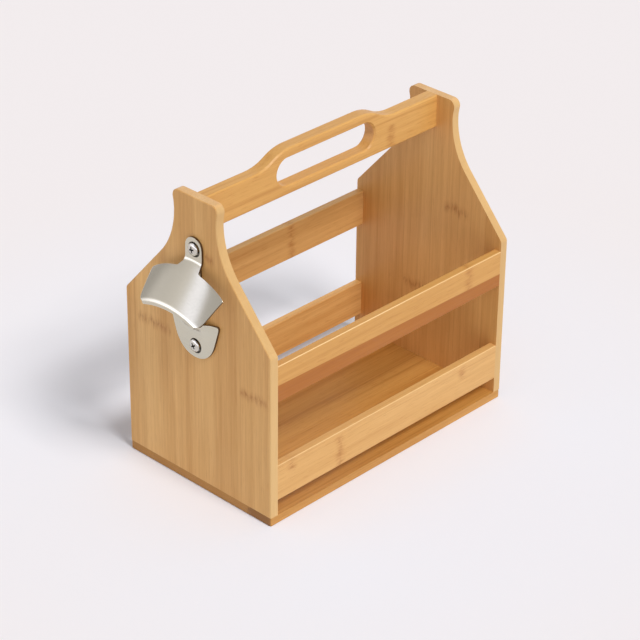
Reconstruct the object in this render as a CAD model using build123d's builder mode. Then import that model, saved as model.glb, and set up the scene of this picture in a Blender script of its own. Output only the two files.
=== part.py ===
"""Bamboo caddy for six bottles, with a pressed steel bottle opener on one end panel.

Frame: millimetres, +Z up, +X along the length, the front long side towards -Y.
The origin is the middle of the base board's underside. The opener is on the -X end.
"""
from build123d import *
import math
import os

# Overall sizes
length = 230.0
width = 136.0
panel_height = 218.0

# Base board
base_thickness = 6.5
base_corner_radius = 1.5
base_edge_ease = 0.5

# End panels: straight sides, a slope from the shoulder, a waist and a slight flare to the top
panel_thickness = 6.5
shoulder_height = 127.5
shoulder_radius = 4.0
waist_width = 39.2
waist_drop = 14.3
flare_spread = 2.9
slope_rise_share = 0.73
panel_top_radius = 5.0
panel_edge_ease = 0.5

# Side slats
slat_height = 27.0
slat_thickness = 6.0
slat_lift = 11.5
slat_drop_from_shoulder = 7.5
slat_edge_ease = 0.5

# Handle board: straight foot, raised middle and a hand-hole with round ends
handle_thickness = 10.0
handle_end_height = 24.7
handle_rise = 9.0
handle_crest_length = 66.0
handle_ramp_length = 34.0
handle_edge_ease = 1.0
handle_lower_bar = 6.7
hand_hole_height = 20.0
hand_hole_length = 92.0

# Flat-sided dowels and their blind holes
dowel_sides = 8
slat_dowel_diameter = 3.0
slat_dowel_spacing = 14.0
slat_dowel_depth_in_slat = 10.0
handle_dowel_diameter = 5.0
handle_dowel_spacing = 12.0
handle_dowel_depth_in_board = 12.0
dowel_depth_in_panel = 4.5
dowel_end_gap = 0.4

# Countersunk screws from below, through the base into the end panels
base_screw_diameter = 2.4
base_screw_head_diameter = 4.4
base_screw_head_height = 1.2
base_screw_length = 20.0
base_screw_point_length = 3.0
base_screw_sink = 0.3
base_screw_clearance = 0.2
base_screw_spacing = 88.0

# Bottle opener, ear and back strip: drops are below the top they are named for
sheet = 1.7
opener_drop_from_panel_top = 28.0
ear_width = 15.2
ear_length = 17.3
upper_screw_drop = 8.2
back_strip_width = 12.0

# Bottle opener, hood: an arched canopy that leaves the wood at the bend and turns downwards
hood_root_pitch_degrees = 20.0
hood_pitch_degrees = 50.0
hood_root_radius = 18.0
hood_reach = 23.3
hood_root_arch_radius = 52.0
hood_lip_arch_radius = 66.0
hood_neck_width = 18.6
hood_neck_radius = 2.0
hood_wing_setback = 5.2
hood_lip_width = 55.5
hood_side_taper_degrees = 12.4
hood_lip_corner_radius = 4.0
hood_back_corner_radius = 1.5
hood_blank_width = 76.0
hood_turn_shares = (-0.15, 0.3, 0.65, 1)
hood_trim_overrun = 20.0

# Bottle opener, lower plate: a flat shield whose top is drawn outwards to catch the cap
opener_height = 87.8
plate_height = 30.3
plate_bottom_radius = 18.4
plate_taper_degrees = 17.0
lower_screw_lift = 8.7
catch_bend_lift = 16.8
catch_flat_bow = 0.1
catch_reach = 9.0
catch_dip = 3.3

# Opener screws, with raised countersunk heads
opener_screw_diameter = 4.0
opener_screw_head_diameter = 8.4
opener_screw_crown = 1.1
opener_screw_crown_diameter = 4.4
opener_screw_depth_in_panel = 5.2
opener_screw_point_length = 2.0
opener_hole_clearance = 0.15

# Places that follow from the sizes
half_length = length / 2
half_width = width / 2
inner_half_length = half_length - panel_thickness
panel_centre_x = half_length - panel_thickness / 2
slat_centre_y = half_width - slat_thickness / 2
lower_slat_foot = base_thickness + slat_lift
upper_slat_foot = shoulder_height - slat_drop_from_shoulder - slat_height
handle_foot = panel_height - handle_end_height
handle_crest = panel_height + handle_rise
hand_hole_centre = handle_foot + handle_lower_bar + hand_hole_height / 2
base_screw_tip = base_screw_sink + base_screw_length
base_screw_head_slope = (base_screw_head_diameter - base_screw_diameter) / 2 / base_screw_head_height
opener_screw_head_slope = (opener_screw_head_diameter - opener_screw_diameter) / 2 / sheet
ear_top_height = panel_height - opener_drop_from_panel_top
ear_centre_height = ear_top_height - ear_width / 2
bend_height = ear_top_height - ear_length
plate_bottom_height = ear_top_height - opener_height
plate_top_height = plate_bottom_height + plate_height
plate_centre_height = plate_bottom_height + plate_bottom_radius
catch_bend_height = plate_bottom_height + catch_bend_lift
opener_screw_heights = (ear_top_height - upper_screw_drop, plate_bottom_height + lower_screw_lift)

# The opener's own plane, on the wood: across is towards the front, up is up, out is away from the wood
opener_plane = Plane((-half_length, 0, 0), x_dir=(0, -1, 0), z_dir=(-1, 0, 0))
sheet_face = half_length + sheet

# The hood's crown line: an arc from the root's pitch to the main pitch, then straight to the lip
root_pitch = math.radians(hood_root_pitch_degrees)
hood_pitch = math.radians(hood_pitch_degrees)
turn_reach = hood_root_radius * (math.sin(hood_pitch) - math.sin(root_pitch))
turn_drop = hood_root_radius * (math.cos(root_pitch) - math.cos(hood_pitch))
hood_drop = turn_drop + (hood_reach - turn_reach) * math.tan(hood_pitch)
lip_sag = hood_lip_arch_radius - math.sqrt(hood_lip_arch_radius**2 - (hood_lip_width / 2) ** 2)


def finish(piece, name):
    """Label a finished piece and write it as one file."""
    piece.part.label = name
    export_step(piece.part, f"parts/{name}.step")


def slat_dowel_places():
    """Centres of the slat dowels across an end panel, as (y, z) pairs."""
    return [
        (side * slat_centre_y, foot + slat_height / 2 + shift * slat_dowel_spacing / 2)
        for side in (-1, 1)
        for foot in (lower_slat_foot, upper_slat_foot)
        for shift in (-1, 1)
    ]


def handle_dowel_places():
    """Centres of the handle dowels across an end panel, as (y, z) pairs."""
    middle = handle_foot + handle_end_height / 2
    return [(0, middle + shift * handle_dowel_spacing / 2) for shift in (-1, 1)]


def base_screw_places():
    """Centres of the base screws, as (x, y) pairs."""
    return [(end * panel_centre_x, side * base_screw_spacing / 2) for end in (-1, 1) for side in (-1, 1)]


def opener_screw_places():
    """Centres of the opener's screws on its own plane, as (across, height) pairs."""
    return [(0, height) for height in opener_screw_heights]


def draw_panel_half():
    """Draw one half of an end panel's outline, from the foot's middle to the top's middle."""
    waist = waist_width / 2
    waist_height = panel_height - waist_drop
    slope_rise = (waist_height - shoulder_height) * slope_rise_share
    slope = math.atan(slope_rise / (half_width - waist))
    corner_height = shoulder_height + slope_rise
    sweep_reach = waist_height - corner_height
    sweep_start = (waist + sweep_reach * math.cos(slope), corner_height - sweep_reach * math.sin(slope))
    flare_radius = (waist_drop**2 + flare_spread**2) / (2 * flare_spread)
    flare_turn = math.degrees(math.asin(waist_drop / flare_radius))
    foot = Line((0, base_thickness), (half_width, base_thickness))
    side = Line(foot @ 1, (half_width, shoulder_height))
    ramp = Line(side @ 1, sweep_start)
    sweep_arc = TangentArc(ramp @ 1, (waist, waist_height), tangent=ramp % 1)
    flare = JernArc(sweep_arc @ 1, sweep_arc % 1, flare_radius, -flare_turn)
    Line(flare @ 1, (0, panel_height))


def make_end_panel(outward, carries_opener):
    """Build the end panel that faces -X (outward = -1) or +X (outward = 1)."""
    with BuildPart() as panel:
        with BuildSketch(Plane.YZ.offset(outward * half_length)) as outline:
            with BuildLine():
                draw_panel_half()
                mirror(about=Plane.YZ)
            make_face()
            fillet(outline.vertices().group_by(Axis.Y)[-1], panel_top_radius)
            sides = outline.vertices().group_by(lambda corner: abs(corner.X))[-1]
            fillet(sides.group_by(Axis.Y)[-1], shoulder_radius)
        extrude(amount=-outward * panel_thickness)
        outer_face = panel.faces().filter_by(Axis.X).sort_by(lambda face: outward * face.center().X)[-1]
        rim = outer_face.edges().filter_by(lambda edge: edge.center().Z > base_thickness + panel_edge_ease)
        chamfer(rim, panel_edge_ease)
        with BuildSketch(Plane.YZ.offset(outward * inner_half_length)):
            with Locations(*slat_dowel_places()):
                RegularPolygon(slat_dowel_diameter / 2, dowel_sides)
            with Locations(*handle_dowel_places()):
                RegularPolygon(handle_dowel_diameter / 2, dowel_sides)
        extrude(amount=outward * dowel_depth_in_panel, mode=Mode.SUBTRACT)
        with BuildSketch(Plane.XY):
            with Locations(*base_screw_places()):
                Circle(base_screw_diameter / 2)
        extrude(amount=base_screw_tip, mode=Mode.SUBTRACT)
        if carries_opener:
            with BuildSketch(opener_plane):
                with Locations(*opener_screw_places()):
                    Circle(opener_screw_diameter / 2)
            extrude(amount=-opener_screw_depth_in_panel, mode=Mode.SUBTRACT)
    return panel


def make_slat(side, foot):
    """Build a side slat on the front (side = -1) or back (side = 1), with its foot at a height."""
    with BuildPart() as slat:
        with BuildSketch(Plane.YZ):
            with Locations((side * slat_centre_y, foot + slat_height / 2)):
                Rectangle(slat_thickness, slat_height)
        extrude(amount=inner_half_length, both=True)
        chamfer(slat.edges().filter_by(Axis.X), slat_edge_ease)
        for end in (-1, 1):
            with BuildSketch(Plane.YZ.offset(end * inner_half_length)):
                with Locations(*slat_dowel_places()):
                    RegularPolygon(slat_dowel_diameter / 2, dowel_sides)
            extrude(amount=-end * slat_dowel_depth_in_slat, mode=Mode.SUBTRACT)
    return slat


def draw_handle_half():
    """Draw one half of the handle board's outline, from the foot's middle to the crest's middle."""
    ramp_top = handle_crest_length / 2
    ramp_foot = ramp_top + handle_ramp_length
    ramp_middle = (ramp_top + handle_ramp_length / 2, panel_height + handle_rise / 2)
    foot = Line((0, handle_foot), (inner_half_length, handle_foot))
    end = Line(foot @ 1, (inner_half_length, panel_height))
    shelf = Line(end @ 1, (ramp_foot, panel_height))
    lower_bend = TangentArc(shelf @ 1, ramp_middle, tangent=shelf % 1)
    upper_bend = TangentArc(lower_bend @ 1, (ramp_top, handle_crest), tangent=lower_bend % 1)
    Line(upper_bend @ 1, (0, handle_crest))


def make_dowels(places, diameter, depth_in_piece):
    """Build the dowels that cross from both end panels into a piece between them."""
    outer_end = inner_half_length + dowel_depth_in_panel - dowel_end_gap
    dowel_length = dowel_depth_in_panel + depth_in_piece - 2 * dowel_end_gap
    with BuildPart() as dowels:
        for end in (-1, 1):
            with BuildSketch(Plane.YZ.offset(end * outer_end)):
                with Locations(*places):
                    RegularPolygon(diameter / 2, dowel_sides)
            extrude(amount=-end * dowel_length)
    return dowels


def make_hood_section(reach, drop, pitch):
    """Draw the hood's section parallel to the wood: an arch whose crown is at a reach and a drop."""
    arch_radius = hood_root_arch_radius + (hood_lip_arch_radius - hood_root_arch_radius) * reach / hood_reach
    half_angle = math.degrees(math.asin(hood_blank_width / 2 / arch_radius))
    centre = (0, bend_height - drop - arch_radius)
    with BuildSketch(opener_plane.offset(sheet + reach)) as section:
        with BuildLine():
            outer = CenterArc(centre, arch_radius, 90 - half_angle, 2 * half_angle)
            inner = CenterArc(centre, arch_radius - sheet / math.cos(pitch), 90 - half_angle, 2 * half_angle)
            Line(outer @ 0, inner @ 0)
            Line(outer @ 1, inner @ 1)
        make_face()
    return section.sketch


def make_turn_section(share):
    """Draw the hood's section at a share of the turn between its root and its straight slope."""
    pitch = root_pitch + share * (hood_pitch - root_pitch)
    reach = hood_root_radius * (math.sin(pitch) - math.sin(root_pitch))
    drop = hood_root_radius * (math.cos(root_pitch) - math.cos(pitch))
    return make_hood_section(reach, drop, pitch)


def find_wing_corners():
    """The straight edges through the sheet at the hood's outer corners."""
    straight = hood.edges().filter_by(GeomType.LINE)
    return straight.filter_by(lambda edge: abs(edge.center().Y) > hood_neck_width)


def plate_half_width(height):
    """Half the width of the opener's lower plate at a height above its rounded bottom."""
    taper = math.radians(plate_taper_degrees)
    rise = height - plate_centre_height
    return (plate_bottom_radius + rise * math.sin(taper)) / math.cos(taper)


def make_catch_section(height, reach):
    """Draw the catch's section at a height: a strip of sheet bowed away from the wood by reach."""
    half = plate_half_width(height)
    front = -half_length - sheet
    with BuildSketch(Plane.XY.offset(height)) as section:
        with BuildLine():
            back_arc = ThreePointArc((-half_length, -half), (-half_length - reach, 0), (-half_length, half))
            front_arc = ThreePointArc((front, -half), (front - reach, 0), (front, half))
            Line(back_arc @ 0, front_arc @ 0)
            Line(back_arc @ 1, front_arc @ 1)
        make_face()
    return section.sketch


# Base board, with countersunk holes from below
with BuildPart() as base_board:
    with BuildSketch(Plane.XY):
        RectangleRounded(length, width, base_corner_radius)
    extrude(amount=base_thickness)
    chamfer(base_board.faces().sort_by(Axis.Z)[0].edges(), base_edge_ease)
    with Locations(Plane((0, 0, 0), z_dir=(0, 0, -1))):
        with Locations(*base_screw_places()):
            CounterSinkHole(
                base_screw_diameter / 2 + base_screw_clearance,
                base_screw_head_diameter / 2 + base_screw_sink * base_screw_head_slope,
                counter_sink_angle=2 * math.degrees(math.atan(base_screw_head_slope)),
            )

# End panels
end_panel_opener = make_end_panel(-1, carries_opener=True)
end_panel_plain = make_end_panel(1, carries_opener=False)

# Side slats
slat_front_lower = make_slat(-1, lower_slat_foot)
slat_front_upper = make_slat(-1, upper_slat_foot)
slat_back_lower = make_slat(1, lower_slat_foot)
slat_back_upper = make_slat(1, upper_slat_foot)

# Handle board
with BuildPart() as handle_board:
    with BuildSketch(Plane.XZ):
        with BuildLine():
            draw_handle_half()
            mirror(about=Plane.YZ)
        make_face()
        with Locations((0, hand_hole_centre)):
            SlotOverall(hand_hole_length, hand_hole_height, mode=Mode.SUBTRACT)
    extrude(amount=handle_thickness / 2, both=True)
    side_edges = handle_board.faces().filter_by(Axis.Y).edges()
    eased_reach = inner_half_length - handle_edge_ease
    chamfer(side_edges.filter_by(lambda edge: abs(edge.center().X) < eased_reach), handle_edge_ease)
    for end in (-1, 1):
        with BuildSketch(Plane.YZ.offset(end * inner_half_length)):
            with Locations(*handle_dowel_places()):
                RegularPolygon(handle_dowel_diameter / 2, dowel_sides)
        extrude(amount=-end * handle_dowel_depth_in_board, mode=Mode.SUBTRACT)

# Dowels
slat_dowels = make_dowels(slat_dowel_places(), slat_dowel_diameter, slat_dowel_depth_in_slat)
handle_dowels = make_dowels(handle_dowel_places(), handle_dowel_diameter, handle_dowel_depth_in_board)

# Base screws: countersunk head, shank and point
with BuildPart() as base_screws:
    with BuildSketch(Plane.XZ):
        Polygon(
            (0, base_screw_sink),
            (base_screw_head_diameter / 2, base_screw_sink),
            (base_screw_diameter / 2, base_screw_sink + base_screw_head_height),
            (base_screw_diameter / 2, base_screw_tip - base_screw_point_length),
            (0, base_screw_tip),
            align=None,
        )
    one_base_screw = revolve(axis=Axis.Z, mode=Mode.PRIVATE)
    with Locations(*base_screw_places()):
        add(one_base_screw)

# Opener hood: an arched sheet that turns down from its root, trimmed to a neck and tapering wings
turn_sections = [make_turn_section(share) for share in hood_turn_shares]
lip_section = make_hood_section(hood_reach, hood_drop, hood_pitch)
slope_plane = Plane(
    (-sheet_face, 0, bend_height),
    x_dir=(0, -1, 0),
    z_dir=(-math.sin(hood_pitch), 0, math.cos(hood_pitch)),
)
lip_place = hood_reach * math.cos(hood_pitch) + (hood_drop + lip_sag) * math.sin(hood_pitch)
fan_spread = lip_place * math.tan(math.radians(hood_side_taper_degrees))
with BuildPart() as hood:
    loft(turn_sections)
    loft([turn_sections[-1], lip_section], ruled=True)
    with BuildSketch(Plane.XY) as plan:
        with BuildLine():
            Polyline(
                (-inner_half_length, 0),
                (-inner_half_length, ear_width / 2),
                (-sheet_face, ear_width / 2),
                (-sheet_face - hood_wing_setback, hood_neck_width / 2),
                (-sheet_face - hood_wing_setback, hood_blank_width / 2),
                (-sheet_face - hood_reach, hood_blank_width / 2),
                (-sheet_face - hood_reach, 0),
            )
            mirror(about=Plane.XZ)
        make_face()
        neck_corners = plan.vertices().group_by(lambda corner: abs(corner.Y))[2]
        fillet(neck_corners, hood_neck_radius)
    extrude(amount=ear_top_height, mode=Mode.INTERSECT)
    with BuildSketch(slope_plane):
        Polygon(
            (-hood_lip_width / 2, -lip_place),
            (hood_lip_width / 2, -lip_place),
            (hood_lip_width / 2 + fan_spread, 0),
            (hood_lip_width / 2 + fan_spread, hood_trim_overrun),
            (-hood_lip_width / 2 - fan_spread, hood_trim_overrun),
            (-hood_lip_width / 2 - fan_spread, 0),
            align=None,
        )
    extrude(amount=hood_blank_width, both=True, mode=Mode.INTERSECT)
    split(bisect_by=opener_plane)
    fillet(find_wing_corners().group_by(Axis.Z)[0], hood_lip_corner_radius)
    fillet(find_wing_corners().group_by(Axis.X)[-1], hood_back_corner_radius)

# Bottle opener: the catch first, then the ear, back strip and lower plate on the wood
with BuildPart() as bottle_opener:
    catch_sections = [
        make_catch_section(catch_bend_height, catch_flat_bow),
        make_catch_section(plate_top_height, catch_reach),
    ]
    loft(catch_sections, ruled=True)
    with BuildSketch(opener_plane):
        with BuildLine():
            catch_top = ThreePointArc(
                (-plate_half_width(plate_top_height), plate_top_height),
                (0, plate_top_height - catch_dip),
                (plate_half_width(plate_top_height), plate_top_height),
            )
            Line(catch_top @ 1, catch_top @ 0)
        make_face()
    extrude(amount=catch_reach + 2 * sheet, mode=Mode.SUBTRACT)
    with BuildSketch(opener_plane):
        with Locations((0, ear_centre_height)):
            Circle(ear_width / 2)
        with Locations((0, (ear_centre_height + bend_height - sheet) / 2)):
            Rectangle(ear_width, ear_centre_height - bend_height + sheet)
        with Locations((0, (bend_height + catch_bend_height) / 2)):
            Rectangle(back_strip_width, bend_height - catch_bend_height)
        with BuildLine():
            foot_arc = CenterArc((0, plate_centre_height), plate_bottom_radius, -90, 90 - plate_taper_degrees)
            plate_side = Line(foot_arc @ 1, (plate_half_width(catch_bend_height), catch_bend_height))
            Line(plate_side @ 1, (0, catch_bend_height))
            mirror(about=Plane.YZ)
        make_face()
    extrude(amount=sheet)
    add(hood.part)
    with Locations(opener_plane.offset(sheet)):
        with Locations(*opener_screw_places()):
            CounterSinkHole(
                opener_screw_diameter / 2 + opener_hole_clearance,
                opener_screw_head_diameter / 2,
                counter_sink_angle=2 * math.degrees(math.atan(opener_screw_head_slope)),
            )

# Opener screws: raised countersunk heads
with BuildPart() as opener_screws:
    with BuildSketch(Plane.XZ):
        with BuildLine():
            shank_tip = -half_length + opener_screw_depth_in_panel
            Polyline(
                (-sheet_face - opener_screw_crown, 0),
                (-sheet_face - opener_screw_crown, opener_screw_crown_diameter / 2),
                (-sheet_face, opener_screw_head_diameter / 2),
                (-half_length, opener_screw_diameter / 2),
                (shank_tip - opener_screw_point_length, opener_screw_diameter / 2),
                (shank_tip, 0),
                close=True,
            )
        make_face()
    one_opener_screw = revolve(axis=Axis.X, mode=Mode.PRIVATE)
    with Locations(*[(0, 0, height) for height in opener_screw_heights]):
        add(one_opener_screw)

os.makedirs("parts", exist_ok=True)
finish(base_board, "base_board")
finish(end_panel_opener, "end_panel_opener")
finish(end_panel_plain, "end_panel_plain")
finish(slat_front_lower, "slat_front_lower")
finish(slat_front_upper, "slat_front_upper")
finish(slat_back_lower, "slat_back_lower")
finish(slat_back_upper, "slat_back_upper")
finish(handle_board, "handle_board")
finish(slat_dowels, "slat_dowels")
finish(handle_dowels, "handle_dowels")
finish(base_screws, "base_screws")
finish(bottle_opener, "bottle_opener")
finish(opener_screws, "opener_screws")
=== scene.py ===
"""Looks of a bamboo caddy for six bottles, with a pressed steel bottle opener on one end panel."""
import logging
import math
from collections.abc import Callable
from dataclasses import dataclass, replace
from enum import Enum
from itertools import product

import bmesh
import bpy
from bpy.types import Material, NodeOutputs, NodeSocket, NodeTree, Object
from mathutils import Matrix, Vector


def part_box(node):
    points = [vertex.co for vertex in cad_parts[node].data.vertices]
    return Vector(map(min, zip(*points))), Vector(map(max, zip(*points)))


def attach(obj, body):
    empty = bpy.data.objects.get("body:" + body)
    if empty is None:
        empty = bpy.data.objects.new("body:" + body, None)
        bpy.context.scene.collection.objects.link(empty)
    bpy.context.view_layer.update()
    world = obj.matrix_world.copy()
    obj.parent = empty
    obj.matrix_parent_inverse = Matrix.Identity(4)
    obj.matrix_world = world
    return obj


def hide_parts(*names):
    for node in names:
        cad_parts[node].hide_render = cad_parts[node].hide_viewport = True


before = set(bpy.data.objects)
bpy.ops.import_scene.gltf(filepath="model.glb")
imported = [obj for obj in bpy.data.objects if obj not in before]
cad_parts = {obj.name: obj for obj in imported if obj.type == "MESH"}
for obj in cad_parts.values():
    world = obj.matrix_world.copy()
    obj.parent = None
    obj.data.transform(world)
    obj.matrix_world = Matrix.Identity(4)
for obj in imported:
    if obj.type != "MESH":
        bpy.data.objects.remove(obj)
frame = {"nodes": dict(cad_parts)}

# A tone is a display colour, and a colour is linear, with alpha
Tone = tuple[float, float, float]
Colour = tuple[float, float, float, float]
Pair = tuple[float, float]
Rows = tuple[Pair, ...]
Stops = tuple[tuple[float, ...], ...]

log = logging.getLogger("bottle_caddy")

BODY = "root"
ROUND_SIDES = 56
SMOOTH_ANGLE = math.radians(32)
EDGE_ANGLE = math.radians(50)
MERGE_DISTANCE = 1e-6
START_SIZE = 0.02
LEFT = Vector((-1, 0, 0))
DOWN = Vector((0, 0, -1))
HALVES = (-1, -0.5, 0, 0.5, 1)
THIRDS = (-1, -2 / 3, -1 / 3, 0, 1 / 3, 2 / 3, 1)
# Most of a noise's values lie in this range
NOISE_RANGE = (0.3, 0.7)
# What a browning share of 1 takes off a tone's red, green and blue
BROWNING = (0.14, 0.25, 0.36)


class Axis(Enum):
    """An axis of the object's own frame, with its place in a vector."""

    X = 0
    Y = 1
    Z = 2


def browned(tone: Tone, share: float) -> Colour:
    """Return a display colour made darker and warmer by a share of the browning, as a linear colour."""
    return linear(*[value * (1 - loss * share) for value, loss in zip(tone, BROWNING, strict=True)])


def linear(red: float, green: float, blue: float) -> Colour:
    """Turn a display colour into the linear colour that shaders take.

    Args:
        red: Red share, 0 to 255.
        green: Green share, 0 to 255.
        blue: Blue share, 0 to 255.

    Returns:
        The linear colour with full alpha.
    """
    def channel(value: float) -> float:
        """Undo the display curve of one channel."""
        share = value / 255
        return share / 12.92 if share <= 0.04045 else ((share + 0.055) / 1.055) ** 2.4

    return channel(red), channel(green), channel(blue), 1.0


def dimmed(tone: Tone, share: float) -> Colour:
    """Return a display colour made darker, as a linear colour."""
    return linear(*[share * value for value in tone])


def corner_cut(radius: float, beyond: float) -> float:
    """Return how far a round corner lies inside a square one, at a row so far beyond the square's end."""
    into = max(0.0, beyond + radius)
    return radius - math.sqrt(radius**2 - into**2)


class Graph:
    """A node tree, with short calls for the nodes that the finishes and the surroundings share."""

    def __init__(self, tree: NodeTree) -> None:
        """Take the tree of a material or of the surroundings, and empty it."""
        self.tree = tree
        tree.nodes.clear()

    def put(self, target: NodeSocket, value: object) -> None:
        """Link a socket to a target, or set the target's plain value.

        Args:
            target: The input that takes the value.
            value: A socket or a plain value.
        """
        if isinstance(value, NodeSocket):
            self.tree.links.new(value, target)
        else:
            target.default_value = value

    def node(self, kind: str, inputs: dict | None = None, **settings: object) -> bpy.types.Node:
        """Add a node.

        Args:
            kind: The node's type without its Shader prefix.
            inputs: Values or sockets for its inputs, by name or number.
            settings: The node's own settings.

        Returns:
            The node.
        """
        made = self.tree.nodes.new("ShaderNode" + kind)
        for name, value in settings.items():
            setattr(made, name, value)
        for name, value in (inputs or {}).items():
            self.put(made.inputs[name], value)
        return made

    def math(self, operation: str, first: object, second: object = 0.0) -> NodeSocket:
        """Return the result of one sum on two numbers or sockets."""
        return self.node("Math", {0: first, 1: second}, operation=operation).outputs[0]

    def mix(self, share: object, first: object, second: object) -> NodeSocket:
        """Mix two colours.

        Args:
            share: How much of the second colour shows.
            first: The first colour.
            second: The second colour.

        Returns:
            The mixed colour.
        """
        made = self.node("Mix", data_type="RGBA")
        self.put(made.inputs[0], share)
        self.put(made.inputs[6], first)
        self.put(made.inputs[7], second)
        return made.outputs[2]

    def span(self, value: object, low: float, high: float, to_low: float = 0.0,
             to_high: float = 1.0, smooth: bool = False) -> NodeSocket:
        """Map a value from one range to another, held at its ends.

        Args:
            value: The value's socket.
            low: The range's first value.
            high: The range's last value.
            to_low: The result at the first value.
            to_high: The result at the last value.
            smooth: Eases the result in and out.

        Returns:
            The result.
        """
        made = self.node("MapRange", {0: value, 1: low, 2: high, 3: to_low, 4: to_high},
                         interpolation_type="SMOOTHSTEP" if smooth else "LINEAR")
        return made.outputs[0]

    def noise(self, place: object, scale: tuple[float, float, float], detail: float = 2.0,
              roughness: float = 0.5, shift: tuple[float, float, float] = (0, 0, 0)) -> NodeSocket:
        """Return noise on a place that is stretched along each axis.

        Args:
            place: The place's socket, in metres.
            scale: Waves per metre along each axis.
            detail: Levels of finer noise.
            roughness: Strength of the finer levels.
            shift: Moves the pattern, so that no two pieces match.

        Returns:
            The noise's value, about 0 to 1.
        """
        mapped = self.node("Mapping", {"Vector": place, "Scale": scale, "Location": shift})
        inputs = {"Vector": mapped.outputs[0], "Scale": 1.0, "Detail": detail, "Roughness": roughness}
        return self.node("TexNoise", inputs).outputs[0]

    def bump(self, height: object, distance: float, strength: float) -> NodeSocket:
        """Return a normal bent by a height map."""
        return self.node("Bump", {"Height": height, "Distance": distance, "Strength": strength}).outputs[0]


class Surface(Graph):
    """A material's node tree, with one surface shader and its output."""

    def __init__(self, name: str) -> None:
        """Start the material.

        Args:
            name: The material's name.
        """
        self.material = bpy.data.materials.new(name)
        self.material.use_nodes = True
        super().__init__(self.material.node_tree)
        self.shader = self.node("BsdfPrincipled")
        self.node("OutputMaterial", {"Surface": self.shader.outputs[0]})

    def set(self, **values: object) -> None:
        """Set or link the shader's inputs, by name with underscores for spaces."""
        for name, value in values.items():
            self.put(self.shader.inputs[name.replace("_", " ")], value)


@dataclass(frozen=True)
class Knuckle:
    """A ragged mark where a bamboo cane had a joint. Lengths are in metres."""

    along: float
    across: float
    half_width: float


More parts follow.
